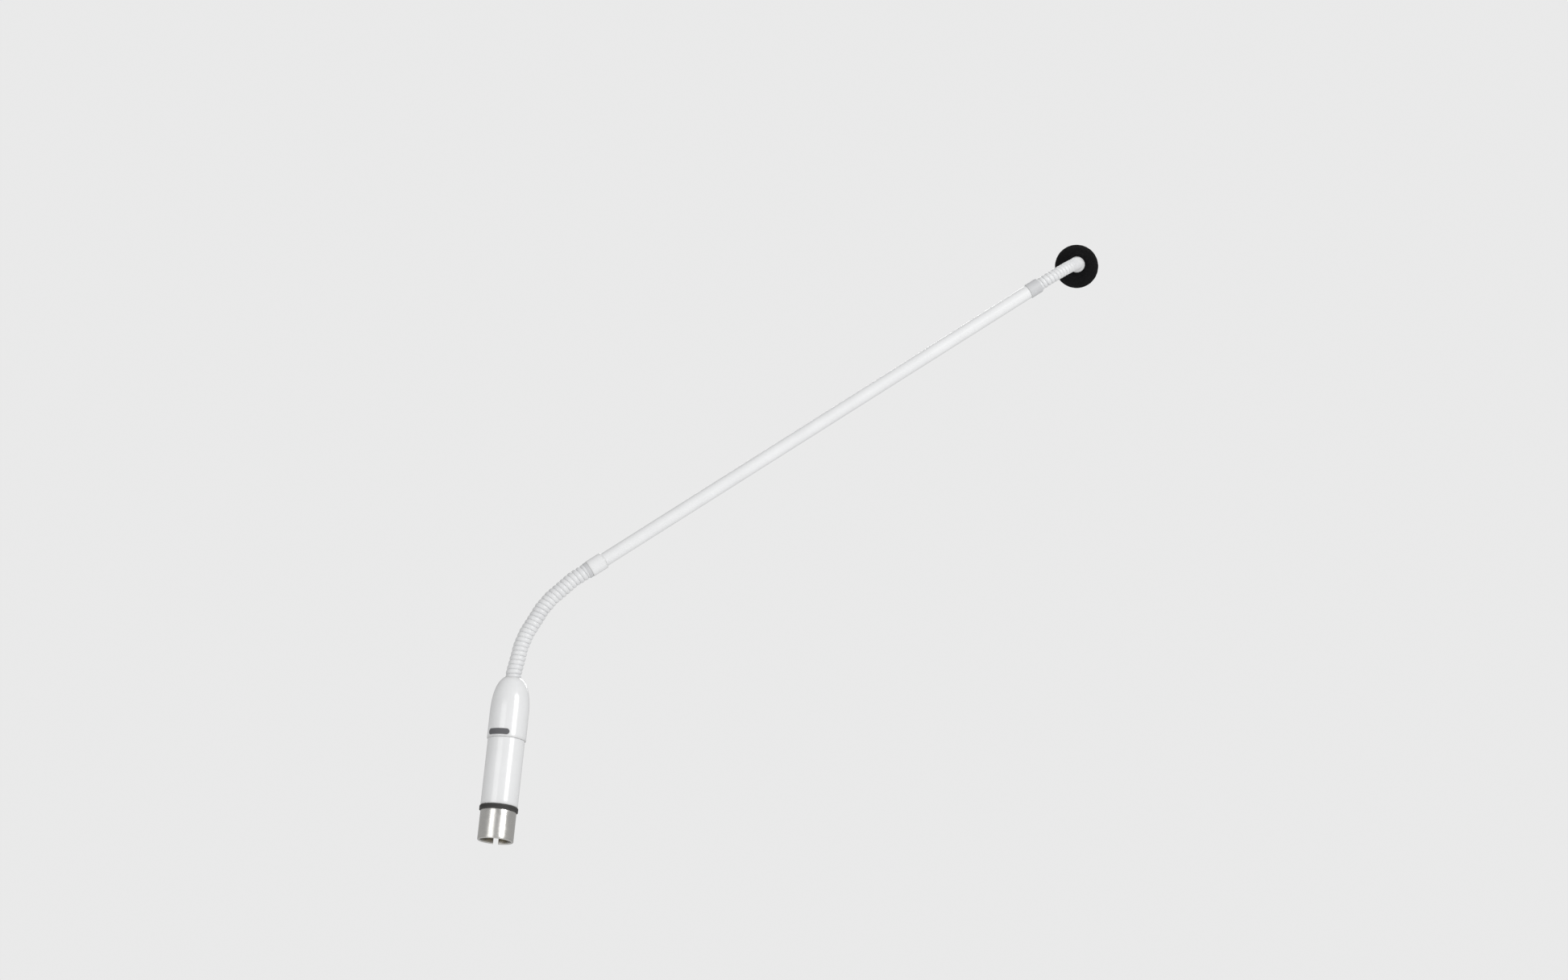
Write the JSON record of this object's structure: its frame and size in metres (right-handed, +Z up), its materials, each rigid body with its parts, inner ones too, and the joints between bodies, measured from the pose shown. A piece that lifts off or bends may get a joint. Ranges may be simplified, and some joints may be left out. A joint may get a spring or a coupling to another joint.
{
  "type": "gooseneck podium microphone",
  "caption": "Slim podium microphone: a plug-in base, a bendable neck, a rigid tube and a second bendable neck that carries a small capsule under a round foam windscreen.",
  "frame": {"origin": "centre of the plug's nose at the face that rests on the desk", "axes": "+Z up the base along the plug's axis, +X towards the arm, +Y the way the head faces"},
  "size_m": [0.2988, 0.0646, 0.3639],
  "materials": {
    "white_enamel": "glossy white enamel",
    "white_tube": "satin white enamel",
    "coil": "white powder coat over a wound steel coil, grey in the grooves",
    "nickel": "satin nickel plate",
    "contact_gold": "gold-flashed contact",
    "black_plastic": "moulded, fine matte",
    "screw_steel": "zinc plate",
    "rubber": "moulded rubber",
    "circuit_board": "solder mask",
    "badge_ink": "printed mark",
    "brass": "turned",
    "lead_sheath": "matte sheath",
    "grey_plastic": "moulded, satin",
    "capsule_can": "drawn can",
    "foam": "open-cell foam"
  },
  "bodies": {
    "base": {"shell": "white_enamel", "plug_nose": "nickel", "pin_insert": "black_plastic", "contact_pins": "contact_gold", "shell_screw": "screw_steel", "gasket_ring": "rubber", "circuit_board": "circuit_board", "board_parts": "black_plastic", "sleeve": "white_enamel", "badge": "badge_ink", "neck_bush": "brass", "set_screw": "screw_steel", "base_lead": "lead_sheath", "lower_coil_1": "coil"},
    "lower_link_1": {"lower_coil_2": "coil"},
    "lower_link_2": {"lower_coil_3": "coil"},
    "lower_link_3": {"lower_coil_4": "coil"},
    "lower_link_4": {"lower_coil_5": "coil"},
    "lower_link_5": {"lower_coil_6": "coil"},
    "lower_link_6": {"lower_coil_7": "coil"},
    "lower_link_7": {"lower_coil_8": "coil"},
    "lower_link_8": {"lower_coil_9": "coil"},
    "arm": {"lower_coil_10": "coil", "neck_end_ring": "grey_plastic", "collar": "white_enamel", "tube": "white_tube", "tube_lead": "lead_sheath", "upper_collar": "grey_plastic", "upper_coil_1": "coil"},
    "upper_link_1": {"upper_coil_2": "coil"},
    "upper_link_2": {"upper_coil_3": "coil"},
    "upper_link_3": {"upper_coil_4": "coil"},
    "upper_link_4": {"upper_coil_5": "coil"},
    "upper_link_5": {"upper_coil_6": "coil"},
    "upper_link_6": {"upper_coil_7": "coil"},
    "upper_link_7": {"upper_coil_8": "coil"},
    "head": {"upper_coil_9": "coil", "head_ring": "white_enamel", "housing": "white_enamel", "capsule": "capsule_can", "capsule_seat": "rubber", "grille": "capsule_can", "head_lead": "lead_sheath"},
    "windscreen": {"windscreen": "foam"}
  },
  "joints": [
    {"name": "lower_neck_bend", "type": "hinge", "parent": "base", "child": "lower_link_1", "pos_m": [0, 0, 0.07275], "axis": [-0.0349, 0.9994, 0], "range_deg": [-13.5, 6.5]},
    {"name": "lower_neck_side", "type": "hinge", "parent": "lower_link_1", "child": "lower_link_2", "pos_m": [0.00111, 0, 0.08017], "axis": [0.9884, 0.0349, -0.1477], "range_deg": [-20, 20]},
    {"name": "lower_neck_bend_2", "type": "hinge", "parent": "lower_link_2", "child": "lower_link_3", "pos_m": [0.00222, 0, 0.08759], "axis": [-0.0345, 0.9994, 0.0052], "range_deg": [-13.5, 6.5]},
    {"name": "lower_neck_bend_3", "type": "hinge", "parent": "lower_link_3", "child": "lower_link_4", "pos_m": [0.00441, 0, 0.09476], "axis": [-0.0334, 0.9994, 0.0102], "range_deg": [-13.5, 6.5]},
    {"name": "lower_neck_side_2", "type": "hinge", "parent": "lower_link_4", "child": "lower_link_5", "pos_m": [0.00764, 0, 0.10153], "axis": [0.902, 0.0349, -0.4302], "range_deg": [-20, 20]},
    {"name": "lower_neck_bend_4", "type": "hinge", "parent": "lower_link_5", "child": "lower_link_6", "pos_m": [0.01087, 0, 0.1083], "axis": [-0.0315, 0.9994, 0.015], "range_deg": [-13.5, 6.5]},
    {"name": "lower_neck_bend_5", "type": "hinge", "parent": "lower_link_6", "child": "lower_link_7", "pos_m": [0.01506, 0, 0.11451], "axis": [-0.0289, 0.9994, 0.0195], "range_deg": [-13.5, 6.5]},
    {"name": "lower_neck_side_3", "type": "hinge", "parent": "lower_link_7", "child": "lower_link_8", "pos_m": [0.02013, 0, 0.12004], "axis": [0.7368, 0.0349, -0.6752], "range_deg": [-20, 20]},
    {"name": "lower_neck_bend_6", "type": "hinge", "parent": "lower_link_8", "child": "arm", "pos_m": [0.0252, 0, 0.12557], "axis": [-0.0257, 0.9994, 0.0236], "range_deg": [-13.5, 6.5]},
    {"name": "upper_neck_bend", "type": "hinge", "parent": "arm", "child": "upper_link_1", "pos_m": [0.25908, 0, 0.31497], "axis": [-0.6232, -0.1392, 0.7696], "range_deg": [-28, 2]},
    {"name": "upper_neck_bend_2", "type": "hinge", "parent": "upper_link_1", "child": "upper_link_2", "pos_m": [0.26232, 0.00098, 0.31777], "axis": [-0.6232, -0.1392, 0.7696], "range_deg": [-28, 2]},
    {"name": "upper_neck_side", "type": "hinge", "parent": "upper_link_2", "child": "upper_link_3", "pos_m": [0.26523, 0.00289, 0.32047], "axis": [-0.4194, 0.89, -0.1787], "range_deg": [-20, 20]},
    {"name": "upper_neck_bend_3", "type": "hinge", "parent": "upper_link_3", "child": "upper_link_4", "pos_m": [0.26813, 0.0048, 0.32317], "axis": [-0.6232, -0.1392, 0.7696], "range_deg": [-28, 2]},
    {"name": "upper_neck_bend_4", "type": "hinge", "parent": "upper_link_4", "child": "upper_link_5", "pos_m": [0.27055, 0.00754, 0.32562], "axis": [-0.6232, -0.1392, 0.7696], "range_deg": [-28, 2]},
    {"name": "upper_neck_side_2", "type": "hinge", "parent": "upper_link_5", "child": "upper_link_6", "pos_m": [0.27235, 0.01098, 0.3277], "axis": [-0.6663, 0.6097, -0.4293], "range_deg": [-20, 20]},
    {"name": "upper_neck_bend_5", "type": "hinge", "parent": "upper_link_6", "child": "upper_link_7", "pos_m": [0.27415, 0.01441, 0.32978], "axis": [-0.6232, -0.1392, 0.7696], "range_deg": [-28, 2]},
    {"name": "upper_neck_bend_6", "type": "hinge", "parent": "upper_link_7", "child": "head", "pos_m": [0.27525, 0.01836, 0.33138], "axis": [-0.6232, -0.1392, 0.7696], "range_deg": [-28, 2]},
    {"name": "windscreen_pull", "type": "slide", "parent": "head", "child": "windscreen", "axis": [0.0759, 0.9686, 0.2366], "range_m": [0, 0.03]}
  ],
  "couplings": [
    {"joint": "lower_neck_bend_2", "follows": "lower_neck_bend", "ratio": 1},
    {"joint": "lower_neck_bend_3", "follows": "lower_neck_bend", "ratio": 1},
    {"joint": "lower_neck_side_2", "follows": "lower_neck_side", "ratio": 1},
    {"joint": "lower_neck_bend_4", "follows": "lower_neck_bend", "ratio": 1},
    {"joint": "lower_neck_bend_5", "follows": "lower_neck_bend", "ratio": 1},
    {"joint": "lower_neck_side_3", "follows": "lower_neck_side", "ratio": 1},
    {"joint": "lower_neck_bend_6", "follows": "lower_neck_bend", "ratio": 1},
    {"joint": "upper_neck_bend_2", "follows": "upper_neck_bend", "ratio": 1},
    {"joint": "upper_neck_bend_3", "follows": "upper_neck_bend", "ratio": 1},
    {"joint": "upper_neck_bend_4", "follows": "upper_neck_bend", "ratio": 1},
    {"joint": "upper_neck_side_2", "follows": "upper_neck_side", "ratio": 1},
    {"joint": "upper_neck_bend_5", "follows": "upper_neck_bend", "ratio": 1},
    {"joint": "upper_neck_bend_6", "follows": "upper_neck_bend", "ratio": 1}
  ]
}
